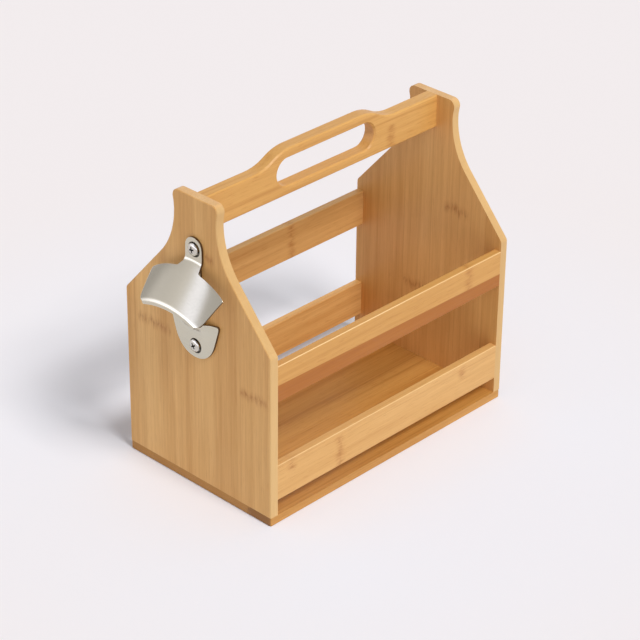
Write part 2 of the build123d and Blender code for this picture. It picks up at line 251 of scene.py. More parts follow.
@dataclass(frozen=True)
class BambooFinish:
    """Lacquered bamboo board: glued strips with fine fibres, long streaks, knuckles and a satin coat.

    The pale and deep tones are the two ends of the strips' tones. The heart tone fills the board below a
    height that slopes along X, and the dark end is on the end faces, below a Y. The edge highlight share
    paints the chamfered top edges paler: a painted highlight. A range holds the two values between which
    a mark comes in, a strength says how much of its own colour it then takes, and a brown how far that
    colour is browned. Lengths are in metres, and waves per metre, along the grain and over it.
    """

    name: str
    grain: Axis
    across: Axis
    strip_width: float
    first_joint: float
    pale: Tone = (232, 184, 118)
    deep: Tone = (200, 146, 80)
    end_tone: Tone = (226, 174, 114)
    strip_contrast: float = 0.4
    broad_swing: float = 0.28
    band_swing: float = 0.24
    fibre_swing: float = 0.20
    streaks: float = 0.32
    streak_range: Pair = (0.50, 0.74)
    streak_brown: float = 0.8
    dashes: float = 0.34
    dash_range: Pair = (0.56, 0.72)
    joint_strength: float = 0.30
    seed: float = 0.0
    knuckles: tuple[Knuckle, ...] = ()
    blotch_range: Pair = (0.35, 0.65)
    blotch_strengths: Pair = (0.05, 0.62)
    blotch_brown: float = 1.0
    line_range: Pair = (0.50, 0.66)
    line_strength: float = 0.42
    line_brown: float = 1.7
    heart_below: float | None = None
    heart_slope: float = 0.0
    heart_tone: Tone = (176, 110, 42)
    heart_brown: float = 0.6
    rim_tone: Tone | None = None
    rim_range: Pair = (0.35, 0.80)
    rim_strength: float = 0.7
    edge_highlight: float = 0.0
    edge_highlight_tone: Tone = (250, 218, 164)
    edge_highlight_least: float = 0.3
    edge_highlight_range: Pair = (0.35, 0.55)
    bevel_rise: Pair = (0.5, 0.65)
    bevel_fall: Pair = (0.8, 0.95)
    end_range: Pair = (0.6, 0.95)
    end_strength: float = 0.9
    end_cloud_range: Pair = (0.35, 0.65)
    end_cloud_strength: float = 0.4
    pore_waves: float = 1100.0
    pore_scatter: float = 0.9
    pore_range: Pair = (0.10, 0.50)
    pore_strength: float = 0.55
    pore_shade: float = 0.78
    dark_end: float | None = None
    dark_end_strength: float = 0.8
    dark_end_shade: float = 0.80
    dark_end_brown: float = 0.8
    roughness: float = 0.44
    roughness_swing: Pair = (-0.06, 0.08)
    dash_roughness: float = 0.2
    coat: float = 0.08
    coat_roughness: float = 0.30
    specular: float = 0.28
    grain_depth: float = 0.0001
    grain_strength: float = 0.8
    fibre_height: float = 0.7
    joint_half: float = 0.0004
    joint_wander: float = 0.0004
    heart_blur: float = 0.0003
    end_blur: float = 0.002
    end_ragged: float = 0.003
    knuckle_sway: float = 0.0022
    knuckle_blur: float = 0.0025
    blotch_reach: float = 0.0065
    line_reach: float = 0.0022
    sway_waves: Pair = (1.0, 260.0)
    blotch_waves: Pair = (110.0, 520.0)
    fleck_waves: Pair = (210.0, 800.0)
    wander_waves: Pair = (7.0, 9.0)
    broad_waves: Pair = (3.5, 70.0)
    band_waves: Pair = (6.0, 260.0)
    fibre_waves: Pair = (24.0, 1100.0)
    dash_waves: Pair = (95.0, 1500.0)
    smudge_waves: Pair = (14.0, 22.0)

    def stretched(self, along: float, over: float) -> tuple[float, float, float]:
        """Stretch a pattern along the grain.

        Args:
            along: Waves per metre along the grain.
            over: Waves per metre over it.

        Returns:
            The pattern's scale along each axis.
        """
        scale = [over, over, over]
        scale[self.grain.value] = along
        return tuple(scale)

    def build(self) -> Material:
        """Build the material.

        Returns:
            The finished material.
        """
        g = Surface(self.name)
        coordinates = g.node("TexCoord").outputs
        place = coordinates["Object"]
        parts = g.node("SeparateXYZ", {0: place}).outputs
        facing = g.node("SeparateXYZ", {0: coordinates["Normal"]}).outputs
        shift = (self.seed * 3.1, self.seed * 1.7, self.seed * 2.3)
        darker = browned(self.deep, self.streak_brown)

        wander = g.noise(place, self.stretched(*self.wander_waves), 1.0, shift=shift)
        wavy = g.span(wander, *NOISE_RANGE, -self.joint_wander, self.joint_wander)
        wavy_over = g.math("ADD", parts[self.across.value], wavy)
        strip_place = g.math("DIVIDE", g.math("SUBTRACT", wavy_over, self.first_joint), self.strip_width)
        strip_seed = g.math("ADD", g.math("FLOOR", strip_place), self.seed * 7.0 + 0.5)
        chance = g.node("TexWhiteNoise", {"W": strip_seed}, noise_dimensions="1D").outputs[0]

        broad = g.noise(place, self.stretched(*self.broad_waves), 3.0, 0.6, shift)
        bands = g.noise(place, self.stretched(*self.band_waves), 3.0, 0.6, shift)
        fibres = g.noise(place, self.stretched(*self.fibre_waves), 4.0, 0.6, shift)
        dashes = g.noise(place, self.stretched(*self.dash_waves), 2.0, 0.5, shift)

        tone = g.math("MULTIPLY_ADD", chance, self.strip_contrast)
        tone.node.inputs[2].default_value = 0.5 - self.strip_contrast / 2
        for pattern, swing in ((broad, self.broad_swing), (bands, self.band_swing),
                               (fibres, self.fibre_swing)):
            tone = g.math("ADD", tone, g.span(pattern, *NOISE_RANGE, -swing, swing))
        tone.node.use_clamp = True
        colour = g.mix(tone, linear(*self.pale), linear(*self.deep))
        if self.heart_below is not None:
            slope = g.math("MULTIPLY", parts[Axis.X.value], self.heart_slope)
            above = g.math("SUBTRACT", parts[Axis.Z.value], g.math("ADD", slope, self.heart_below))
            heart = g.span(above, -self.heart_blur, self.heart_blur, 1.0, 0.0)
            heart_brown = browned(self.heart_tone, self.heart_brown)
            heart_colour = g.mix(tone, linear(*self.heart_tone), heart_brown)
            colour = g.mix(heart, colour, heart_colour)
        streak = g.span(bands, *self.streak_range, 0.0, self.streaks, smooth=True)
        colour = g.mix(streak, colour, darker)
        dark_dash = g.span(dashes, *self.dash_range, 0.0, self.dashes, smooth=True)
        colour = g.mix(dark_dash, colour, darker)
        joint_place = g.math("FRACT", strip_place)
        joint_near = g.math("MINIMUM", joint_place, g.math("SUBTRACT", 1.0, joint_place))
        joint = g.span(joint_near, 0.0, self.joint_half / self.strip_width, self.joint_strength, 0.0)
        colour = g.mix(joint, colour, darker)

        height = g.math("SUBTRACT", g.math("MULTIPLY", fibres, self.fibre_height), dark_dash)
        height = g.math("SUBTRACT", height, joint)
        if self.knuckles:
            mark, line = self.build_knuckles(g, parts, place)
            colour = g.mix(mark, colour, browned(self.deep, self.blotch_brown))
            colour = g.mix(line, colour, browned(self.deep, self.line_brown))
            height = g.math("SUBTRACT", height, line)

        if self.rim_tone is not None:
            sideways = g.math("ABSOLUTE", facing[self.across.value])
            rim = g.span(sideways, *self.rim_range, 0.0, self.rim_strength, smooth=True)
            colour = g.mix(rim, colour, linear(*self.rim_tone))
        # Painted highlight: the chamfered top edges are painted paler, as if they caught the light
        if self.edge_highlight:
            upward = facing[Axis.Z.value]
            rising, falling = g.span(upward, *self.bevel_rise), g.span(upward, *self.bevel_fall, 1.0, 0.0)
            bevel = g.math("MULTIPLY", rising, falling)
            painted_highlight = g.math("MULTIPLY", bevel, g.span(bands, *self.edge_highlight_range, self.edge_highlight_least, self.edge_highlight))
            colour = g.mix(painted_highlight, colour, linear(*self.edge_highlight_tone))
        endways = g.math("ABSOLUTE", facing[self.grain.value])
        end_face = g.span(endways, *self.end_range, 0.0, self.end_strength, smooth=True)
        settings = {"Vector": place, "Scale": self.pore_waves, "Randomness": self.pore_scatter}
        cells = g.node("TexVoronoi", settings).outputs
        pores = g.span(cells["Distance"], *self.pore_range, self.pore_strength, 0.0)
        end_colour = g.mix(pores, linear(*self.end_tone), dimmed(self.end_tone, self.pore_shade))
        end_cloud = g.span(broad, *self.end_cloud_range, 0.0, self.end_cloud_strength)
        end_colour = g.mix(end_cloud, end_colour, linear(*self.deep))
        if self.dark_end is not None:
            jagged = g.span(bands, *NOISE_RANGE, -self.end_ragged, self.end_ragged)
            ragged = g.math("ADD", parts[Axis.Y.value], jagged)
            start, stop = self.dark_end - self.end_blur, self.dark_end + self.end_blur
            dark = g.span(ragged, start, stop, self.dark_end_strength, 0.0)
            shaded = tuple(self.dark_end_shade * value for value in self.end_tone)
            end_colour = g.mix(dark, end_colour, browned(shaded, self.dark_end_brown))
        colour = g.mix(end_face, colour, end_colour)

        smudge = g.noise(place, self.stretched(*self.smudge_waves), 3.0, 0.6, shift)
        smoothest, roughest = [self.roughness + swing for swing in self.roughness_swing]
        rough = g.span(smudge, *NOISE_RANGE, smoothest, roughest)
        rough = g.math("ADD", rough, g.math("MULTIPLY", dark_dash, self.dash_roughness))
        bent = g.bump(height, self.grain_depth, self.grain_strength)
        g.set(Base_Color=colour, Roughness=rough, Normal=bent)
        g.set(Coat_Weight=self.coat, Coat_Roughness=self.coat_roughness, Specular_IOR_Level=self.specular)
        return g.material

    def build_knuckles(self, g: Surface, parts: NodeOutputs, place: NodeSocket) -> list[NodeSocket]:
        """Build the soft blotches and the broken dark lines of the knuckles.

        Args:
            g: The material's graph.
            parts: The place's three parts.
            place: The place.

        Returns:
            The strength of the blotches and of the lines.
        """
        sway = g.noise(place, self.stretched(*self.sway_waves), 3.0, 0.7)
        bent = g.span(sway, *NOISE_RANGE, -self.knuckle_sway, self.knuckle_sway)
        along = g.math("ADD", parts[self.grain.value], bent)
        over = parts[self.across.value]
        soft: object = 0.0
        thin: object = 0.0
        for knuckle in self.knuckles:
            away = g.math("ABSOLUTE", g.math("SUBTRACT", along, knuckle.along))
            aside = g.math("ABSOLUTE", g.math("SUBTRACT", over, knuckle.across))
            inside = g.span(aside, knuckle.half_width - self.knuckle_blur, knuckle.half_width, 1.0, 0.0)
            near, close = [g.span(away, 0.0, reach, 1.0, 0.0, smooth=True)
                           for reach in (self.blotch_reach, self.line_reach)]
            soft = g.math("MAXIMUM", soft, g.math("MULTIPLY", inside, near))
            thin = g.math("MAXIMUM", thin, g.math("MULTIPLY", inside, close))
        blotch = g.noise(place, self.stretched(*self.blotch_waves), 3.0, 0.6)
        flecks = g.noise(place, self.stretched(*self.fleck_waves), 2.0, 0.6)
        return [g.math("MULTIPLY", soft, g.span(blotch, *self.blotch_range, *self.blotch_strengths)),
                g.math("MULTIPLY", thin, g.span(flecks, *self.line_range, 0.0, self.line_strength))]


@dataclass(frozen=True)
class SteelFinish:
    """Stainless steel, from brushed sheet to polished heads.

    A range holds the two values between which a pattern comes in. A shade is the pattern's dark colour as a
    share of the tone, and a strength says how much of it then shows. Lengths are in metres, and waves per
    metre.
    """

    name: str
    tone: Tone
    brushed: Axis
    brush_depth: float
    roughness: float
    roughness_spread: float = 0.06
    hair_waves: float = 2600.0
    hair_length_waves: float = 60.0
    cloud_waves: float = 45.0
    speck_waves: float = 420.0
    hair_range: Pair = (0.35, 0.7)
    hair_strength: float = 0.16
    hair_shade: float = 0.86
    hair_roughness: Pair = (-0.03, 0.05)
    cloud_range: Pair = (0.25, 0.75)
    cloud_strength: float = 0.30
    cloud_shade: float = 0.90
    speck_height: float = 0.4
    brush_strength: float = 0.6

    def build(self) -> Material:
        """Build the material.

        Returns:
            The finished material.
        """
        g = Surface(self.name)
        place = g.node("TexCoord").outputs["Object"]
        scale = 3 * [self.hair_waves]
        scale[self.brushed.value] = self.hair_length_waves
        hairs = g.noise(place, tuple(scale), 2.0, 0.5)
        cloud = g.noise(place, 3 * (self.cloud_waves,), 3.0, 0.55)
        speck = g.noise(place, 3 * (self.speck_waves,), 2.0, 0.5)
        clouded = g.span(cloud, *NOISE_RANGE, 0.0, self.cloud_strength)
        colour = g.mix(clouded, linear(*self.tone), dimmed(self.tone, self.cloud_shade))
        haired = g.span(hairs, *self.hair_range, 0.0, self.hair_strength)
        colour = g.mix(haired, colour, dimmed(self.tone, self.hair_shade))
        low, high = self.roughness - self.roughness_spread, self.roughness + self.roughness_spread
        rough = g.span(cloud, *self.cloud_range, low, high)
        rough = g.math("ADD", rough, g.span(hairs, *NOISE_RANGE, *self.hair_roughness))
        height = g.math("ADD", hairs, g.math("MULTIPLY", speck, self.speck_height))
        bent = g.bump(height, self.brush_depth, self.brush_strength)
        g.set(Base_Color=colour, Metallic=1.0, Roughness=rough, Normal=bent)
        return g.material


@dataclass(frozen=True)
class FloorFinish:
    """A plain pale studio floor that keeps the object's shadow, and is cooler close to the warm object.

    It is clear from below and behind the base board, so that the object's underside is lit and can be looked
    at. The hidden half is half the size of the patch behind the board. The cooler tone near the object is
    painted light: a cool tint against the warm light that the wood bounces onto the floor. It fades out
    between the near and the far reach.
    """

    name: str = "studio_floor"
    tone: Tone = (243, 238, 240)
    painted_cool_tone: Tone = (241, 242, 250)
    near_reach: float = 0.12
    far_reach: float = 0.42
    hidden_half: Pair = (0.114, 0.067)

    def build(self) -> Material:
        """Build the material.

        Returns:
            The finished material.
        """
        g = Surface(self.name)
        place = g.node("TexCoord").outputs["Object"]
        away = g.node("VectorMath", {0: place}, operation="LENGTH").outputs["Value"]
        # Painted cool tint near the object, against the warm light that the wood bounces onto the floor
        near = g.span(away, self.near_reach, self.far_reach, 1.0, 0.0, smooth=True)
        parts = g.node("SeparateXYZ", {0: place}).outputs
        within = [g.math("LESS_THAN", g.math("ABSOLUTE", parts[axis]), half)
                  for axis, half in enumerate(self.hidden_half)]
        clear = g.node("NewGeometry").outputs["Backfacing"]
        clear = g.math("MAXIMUM", clear, g.math("MULTIPLY", *within))
        colour = g.mix(near, linear(*self.tone), linear(*self.painted_cool_tone))
        g.set(Base_Color=colour, Roughness=1.0, Specular_IOR_Level=0.0, Alpha=g.math("SUBTRACT", 1.0, clear))
        return g.material


@dataclass
class Studio:
    """Pale floor, soft key lamp, pale surroundings and the camera at the photograph's angle.

    Lengths are in metres and angles in degrees. Azimuth 0 looks along +Y. The stops say what reflections see,
    each with a place on one axis of the direction, a level and, where it is cool, how much more blue it has.
    The green share of that goes to the green.
    """

    floor_half: float = 6.0
    floor_gap: float = 0.0001
    azimuth: float = -46.178
    elevation: float = 30.015
    roll: float = 0.632
    focal_pixels: float = 2444.84
    frame_pixels: float = 640.0
    sensor_width: float = 36.0
    distance: float = 1.60362
    view_end: float = 50.0
    target: tuple[float, float, float] = (-0.115, -0.068, 0.0)
    shift_right: float = 0.032258
    shift_up: float = 0.135924
    key_azimuth: float = -5.0
    key_elevation: float = 50.0
    key_spread: float = 20.0
    key_power: float = 2.26
    key_colour: tuple[float, float, float] = (1.0, 0.985, 0.97)
    fill_level: float = 0.445
    surroundings: Tone = (243, 238, 240)
    green_share: float = 0.25
    overhead_stops: Stops = (
        (-1.0, 0.65), (-0.45, 0.60), (-0.10, 0.70), (0.09, 0.68), (0.25, 1.64, 0.24), (0.38, 1.64, 0.24),
        (0.56, 1.02), (0.68, 0.92), (0.85, 0.82), (1.0, 0.56))
    backdrop_rise_stops: Stops = ((-0.05, 1.0), (0.16, 1.0), (0.42, 0.0))
    backdrop_side_stops: Stops = ((-0.75, 1.5, 0.24), (-0.25, 0.0), (1.0, 0.35))

    def build(self) -> None:
        """Build the floor, the key lamp, the surroundings and the camera."""
        self.build_floor()
        self.build_key()
        self.build_world()
        self.build_camera()

    def build_floor(self) -> None:
        """Lay the floor plane a hair below the object's foot."""
        bpy.ops.mesh.primitive_plane_add(size=2 * self.floor_half, location=(0, 0, -self.floor_gap))
        floor = bpy.context.object
        floor.name = "studio_floor"
        floor.data.materials.append(FloorFinish().build())

    def build_key(self) -> None:
        """Hang the large soft key lamp, so far away that it lights the floor evenly."""
        lamp = bpy.data.lights.new("key_lamp", "SUN")
        lamp.energy = self.key_power
        lamp.angle = math.radians(self.key_spread)
        lamp.color = self.key_colour
        holder = bpy.data.objects.new("key_lamp", lamp)
        bpy.context.scene.collection.objects.link(holder)
        outward = self.direction(self.key_azimuth, self.key_elevation)
        holder.rotation_euler = outward.to_track_quat("Z", "Y").to_euler()

    @staticmethod
    def direction(azimuth: float, elevation: float) -> Vector:
        """Return the way to a viewer or a lamp that stands at these angles, in degrees."""
        turn, tilt = math.radians(azimuth), math.radians(elevation)
        return Vector((math.sin(turn) * math.cos(tilt), -math.cos(turn) * math.cos(tilt), math.sin(tilt)))

    def build_world(self) -> None:
        """Make the surroundings pale to the eye, a soft fill for lighting, and a studio in reflections."""
        world = bpy.data.worlds.new("studio")
        bpy.context.scene.world = world
        world.use_nodes = True
        g = Graph(world.node_tree)
        rays = g.node("LightPath").outputs
        fill = g.node("Background", {"Color": (1.0, 1.0, 1.0, 1.0), "Strength": self.fill_level})
        pale = g.node("Background", {"Color": linear(*self.surroundings)})
        mirrored = g.node("Background", {"Color": self.mirrored_colour(g)})
        last = fill.outputs[0]
        for kind, seen in (("Glossy", mirrored), ("Transmission", pale), ("Camera", pale)):
            last = g.node("MixShader", {0: rays[f"Is {kind} Ray"], 1: last, 2: seen.outputs[0]}).outputs[0]
        g.node("OutputWorld", {"Surface": last})

    def mirrored_colour(self, g: Graph) -> NodeSocket:
        """Set how the surroundings look in reflections, by direction.

        A long, cool overhead lamp lies along the length, a low backdrop is bright on the opener's side, and
        the ceiling between them is darker.

        Args:
            g: The graph of the surroundings.

        Returns:
            The colour.
        """
        parts = g.node("SeparateXYZ", {0: g.node("TexCoord").outputs["Generated"]}).outputs

        def ramp(axis: Axis, stops: Stops) -> NodeSocket:
            """Follow one part of the direction through the stops.

            Args:
                axis: The part's axis.
                stops: The stops along it.

            Returns:
                The colour.
            """
            band = g.node("ValToRGB", {0: g.span(parts[axis.value], -1.0, 1.0)})
            band.color_ramp.interpolation = "EASE"
            marks = band.color_ramp.elements
            while len(marks) < len(stops):
                marks.new(0.5)
            for mark, (spot, level, *cool) in zip(marks, stops, strict=True):
                mark.position = (spot + 1) / 2
                green, blue = level * (1 + self.green_share * sum(cool)), level * (1 + sum(cool))
                mark.color = (level, green, blue, 1.0)
            return band.outputs[0]

        def join(operation: str, first: object, second: object) -> NodeSocket:
            """Return two colours added or multiplied, channel by channel."""
            return g.node("VectorMath", {0: first, 1: second}, operation=operation).outputs[0]

        rise, side = ramp(Axis.Z, self.backdrop_rise_stops), ramp(Axis.X, self.backdrop_side_stops)
        seen = join("ADD", ramp(Axis.Y, self.overhead_stops), join("MULTIPLY", rise, side))
        return join("MULTIPLY", seen, linear(*self.surroundings)[:3])

    def build_camera(self) -> None:
        """Place the camera where the photograph's perspective puts it."""
        roll = math.radians(self.roll)
        back = self.direction(self.azimuth, self.elevation)
        level = Vector((0, 0, 1)).cross(back).normalized()
        upright = back.cross(level)
        right = math.cos(roll) * level + math.sin(roll) * upright
        up = -math.sin(roll) * level + math.cos(roll) * upright
        data = bpy.data.cameras.new("camera")
        data.sensor_width = self.sensor_width
        data.lens = self.focal_pixels / self.frame_pixels * self.sensor_width
        data.clip_end = self.view_end
        camera = bpy.data.objects.new("camera", data)
        bpy.context.scene.collection.objects.link(camera)
        place = Vector(self.target) + right * self.shift_right + up * self.shift_up + back * self.distance
        turned = Matrix((right, up, back)).transposed().to_4x4()
        camera.matrix_world = Matrix.Translation(place) @ turned
        bpy.context.scene.camera = camera


@dataclass(frozen=True)
class BambooBody:
    """The caddy's boards and dowels, which keep their own shapes and get bamboo finishes."""

    panel: BambooFinish = BambooFinish(
        "bamboo_panel", Axis.Z, Axis.Y, 0.025, 0.0, (240, 192, 123), (211, 156, 88), (226, 184, 130),
        band_swing=0.13, streaks=0.12, dashes=0.2, rim_tone=(205, 171, 118))
    slat: BambooFinish = BambooFinish(
        "bamboo_slat", Axis.X, Axis.Z, 0.04, 0.0, (226, 180, 115), (204, 152, 87))
    dowel: BambooFinish = BambooFinish(
        "dowel_wood", Axis.X, Axis.Y, 0.05, 0.0, (218, 180, 130), (198, 156, 106))

    def finishes(self) -> dict[str, BambooFinish]:
        """Set out the boards' finishes.

        Returns:
            Each board's finish, by the board's name.
        """
        return {
            "end_panel_opener": replace(
                self.panel, name="bamboo_opener_panel", first_joint=0.0095, seed=1.0,
                knuckles=(Knuckle(0.0925, -0.0525, 0.0135), Knuckle(0.1105, 0.041, 0.0170),
                          Knuckle(0.1790, -0.0120, 0.0060))),
            "end_panel_plain": replace(
                self.panel, name="bamboo_plain_panel", first_joint=-0.003, seed=2.0,
                knuckles=(Knuckle(0.0640, 0.0100, 0.0120), Knuckle(0.1370, -0.0260, 0.0120))),
            "base_board": BambooFinish(
                "bamboo_base", Axis.X, Axis.Y, 0.024, 0.007, (204, 150, 79), (178, 121, 53), (189, 135, 69),
                seed=3.0, dark_end=-0.0480,
                knuckles=(Knuckle(-0.0520, 0.0200, 0.0110), Knuckle(0.0410, -0.0300, 0.0110))),
            "slat_front_lower": replace(
                self.slat, name="bamboo_slat_front_lower", band_swing=0.15, streaks=0.12, edge_highlight=0.4,
                seed=4.0,
                knuckles=(Knuckle(-0.0500, 0.0250, 0.0180), Knuckle(0.0730, 0.0380, 0.0060),
                          Knuckle(-0.0950, 0.0400, 0.0060))),
            "slat_front_upper": replace(
                self.slat, name="bamboo_slat_front_upper", first_joint=0.0850, pale=(213, 161, 91),
                deep=(198, 144, 75), band_swing=0.2, streaks=0.16, edge_highlight=0.7, seed=5.0,
                heart_below=0.1042, heart_slope=-0.0150, knuckles=(Knuckle(0.0755, 0.1120, 0.0100),)),
            "slat_back_lower": replace(
                self.slat, name="bamboo_slat_back_lower", seed=6.0,
                knuckles=(Knuckle(-0.0210, 0.0250, 0.0160),)),
            "slat_back_upper": replace(
                self.slat, name="bamboo_slat_back_upper", first_joint=0.0850, seed=7.0,
                knuckles=(Knuckle(0.0350, 0.1065, 0.0160),)),
            "handle_board": replace(
                self.slat, name="bamboo_handle", first_joint=0.1880, pale=(220, 169, 97), deep=(198, 143, 73),
                seed=8.0, knuckles=(Knuckle(0.0620, 0.2020, 0.0100),)),
            "slat_dowels": replace(self.dowel, name="dowel_wood_slats", seed=9.0),
            "handle_dowels": replace(self.dowel, name="dowel_wood_handle", seed=10.0),
        }

    def build(self, nodes: dict[str, Object]) -> None:
        """Dress each board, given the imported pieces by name."""
        for name, finish in self.finishes().items():
            dress(nodes[name], finish.build())


class Workpiece:
    """A mesh that is shaped in edit mode, one operator at a time."""

    def __init__(self, name: str) -> None:
        """Take the active object, which a primitive has just added, and open it for editing.

        Args:
            name: The piece's name.
        """
        self.object = bpy.context.object
        self.object.name = name
        self.object.data.name = name
        bpy.ops.object.mode_set(mode="EDIT")
        bpy.ops.mesh.select_mode(type="VERT")
        bpy.ops.mesh.select_all(action="DESELECT")

    def mesh(self) -> bmesh.types.BMesh:
        """Number the vertices of the mesh that is being edited.

        Returns:
            The mesh.
        """
        mesh = bmesh.from_edit_mesh(self.object.data)
        mesh.verts.ensure_lookup_table()
        mesh.verts.index_update()
        return mesh

    def choose_numbers(self, numbers: list[int]) -> None:
        """Select these vertices alone, and the edges and faces between them.

        Args:
            numbers: The vertices' numbers.
        """
        bpy.ops.mesh.select_all(action="DESELECT")
        mesh = self.mesh()
        for number in numbers:
            mesh.verts[number].select = True
        mesh.select_flush(True)
        bmesh.update_edit_mesh(self.object.data)

    def choose(self, test: Callable[[Vector], bool], among_chosen: bool = False) -> None:
        """Select the vertices whose place passes a test, among all of them or those selected now."""
        found = [v.index for v in self.mesh().verts if (v.select or not among_chosen) and test(v.co)]
        self.choose_numbers(found)

    def pull(self, places: list[Vector]) -> None:
        """Move the selected vertices to new places, both in order of Y.

        Args:
            places: One place for each selected vertex.
        """
        chosen = [v for v in self.mesh().verts if v.select]
        numbers = [v.index for v in sorted(chosen, key=lambda v: v.co.y)]
        for number, place in zip(numbers, places, strict=True):
            self.choose_numbers([number])
            bpy.ops.transform.translate(value=place - self.mesh().verts[number].co)
        self.choose_numbers(numbers)

    def close(self) -> Object:
        """Leave edit mode and return the piece."""
        bpy.ops.object.mode_set(mode="OBJECT")
        return self.object


class SheetCage(Workpiece):
    """A sheet that grows row by row, each row extruded from the last and pulled into place."""

    def __init__(self, name: str, first: list[Vector], second: list[Vector]) -> None:
        """Start with a flat strip and pull its two long edges to the first two rows.

        Args:
            name: The piece's name.
            first: The first row's places.
            second: The second row's places.
        """
        bpy.ops.mesh.primitive_grid_add(x_subdivisions=1, y_subdivisions=len(first) - 1, size=START_SIZE)
        super().__init__(name)
        self.choose(lambda place: place.x < 0)
        self.pull(first)
        self.choose(lambda place: place.x > 0)
        self.pull(second)

    def grow(self, places: list[Vector], half_width: float = 1.0) -> None:
        """Extrude the last row and pull the new one into place.

        Args:
            places: The new row's places.
            half_width: Only vertices nearer to the middle than this are extruded.
        """
        self.choose(lambda place: abs(place.y) < half_width, among_chosen=True)
        bpy.ops.mesh.extrude_edges_move()
        self.pull(places)


def modify(piece: Object, kind: str, **settings: object) -> None:
    """Add a modifier to a piece and apply it.

    Args:
        piece: The piece.
        kind: The modifier's type.
        settings: The modifier's own settings.
    """
    activate(piece)
    bpy.ops.object.modifier_add(type=kind)
    modifier = piece.modifiers[-1]
    for name, value in settings.items():
        setattr(modifier, name, value)
    bpy.ops.object.modifier_apply(modifier=modifier.name)


def activate(piece: Object) -> None:
    """Make a piece the only selected object, and the active one.

    Args:
        piece: The piece.
    """
    bpy.ops.object.select_all(action="DESELECT")
    piece.select_set(True)
    bpy.context.view_layer.objects.active = piece


def face_outwards(piece: Object) -> None:
    """Merge doubled vertices and turn the faces of a closed piece outwards.

    Args:
        piece: The piece.
    """
    activate(piece)
    bpy.ops.object.mode_set(mode="EDIT")
    bpy.ops.mesh.select_all(action="SELECT")
    bpy.ops.mesh.remove_doubles(threshold=MERGE_DISTANCE)
    bpy.ops.mesh.normals_make_consistent(inside=False)
    bpy.ops.object.mode_set(mode="OBJECT")


def cut(piece: Object, cutter: Object) -> None:
    """Cut one piece by another, which goes away, and keep the cutter's finish in the cut."""
    modify(piece, "BOOLEAN", operation="DIFFERENCE", solver="EXACT", object=cutter, material_mode="TRANSFER")
    bpy.data.objects.remove(cutter)


def turn(name: str, place: Vector, outward: Vector, rings: Rows) -> Object:
    """Turn a round piece on an axis, ring by ring.

    Args:
        name: The piece's name.
        place: The point on the axis from which the rings are measured.
        outward: The axis's direction.
        rings: The radius and the distance outwards of each ring, from the inner end.

    Returns:
        The closed piece.
    """
    radius, reach = rings[0]
    bpy.ops.mesh.primitive_circle_add(vertices=ROUND_SIDES, radius=radius, fill_type="NGON",
                                      location=place + reach * outward,
                                      rotation=outward.to_track_quat("Z", "Y").to_euler())
    bpy.ops.object.transform_apply(location=True, rotation=True, scale=True)
    work = Workpiece(name)
    bpy.ops.mesh.select_all(action="SELECT")
    for next_radius, next_reach in rings[1:]:
        bpy.ops.mesh.extrude_region_move(TRANSFORM_OT_translate={"value": (next_reach - reach) * outward})
        share = next_radius / radius
        bpy.ops.transform.resize(value=(share, share, share), center_override=place + next_reach * outward)
        radius, reach = next_radius, next_reach
    piece = work.close()
    face_outwards(piece)
    return piece


@dataclass(frozen=True)
class CrossScrew:
    """A countersunk screw with a cross recess. Lengths are in metres.

    The rings run from the tip to the crown, as a radius and a distance out of the face it sits in. The taper
    is the recess's foot as a share of its mouth.
    """

    name: str
    rings: Rows
    crown: float
    recess_length: float
    recess_width: float
    recess_depth: float
    recess_taper: float = 0.55

    def build(self, place: Vector, outward: Vector, angle: float, steel: Material,
              shadow: Material) -> Object:
        """Turn the screw and cut its recess.

        Args:
            place: The middle of the head, on the face it sits in.
            outward: The way the head faces.
            angle: How far the recess is turned, in degrees.
            steel: The screw's finish.
            shadow: The recess's finish, a dark painted shade.

        Returns:
            The screw.
        """
        screw = turn(self.name, place, outward, self.rings)
        screw.data.materials.append(steel)
        # The recess's faces take the dark finish: painted shade
        for quarter in (0, 90):
            cut(screw, self.build_arm(place, outward, angle + quarter, shadow))
        activate(screw)
        bpy.ops.object.shade_smooth_by_angle(angle=SMOOTH_ANGLE)
        return screw

    def build_arm(self, place: Vector, outward: Vector, angle: float, shadow: Material) -> Object:
        """Build the tapered cutter of one arm of the recess.

        Args:
            place: The middle of the head, on the face it sits in.
            outward: The way the head faces.
            angle: The arm's turn, in degrees.
            shadow: The recess's finish, a dark painted shade.

        Returns:
            The cutter.
        """
        turned = outward.to_track_quat("Z", "Y").to_matrix() @ Matrix.Rotation(math.radians(angle), 3, "Z")
        size = (self.recess_length, self.recess_width, 2 * self.recess_depth)
        bpy.ops.mesh.primitive_cube_add(size=1, location=place + self.crown * outward,
                                        rotation=turned.to_euler(), scale=size)
        bpy.ops.object.transform_apply(location=True, rotation=True, scale=True)
        work = Workpiece("recess_arm")
        foot = place + (self.crown - self.recess_depth) * outward
        work.choose(lambda spot: (spot - foot).dot(outward) < self.recess_depth / 2)
        bpy.ops.transform.resize(value=3 * (self.recess_taper,), center_override=foot)
        arm = work.close()
        arm.data.materials.append(shadow)
        face_outwards(arm)
        return arm


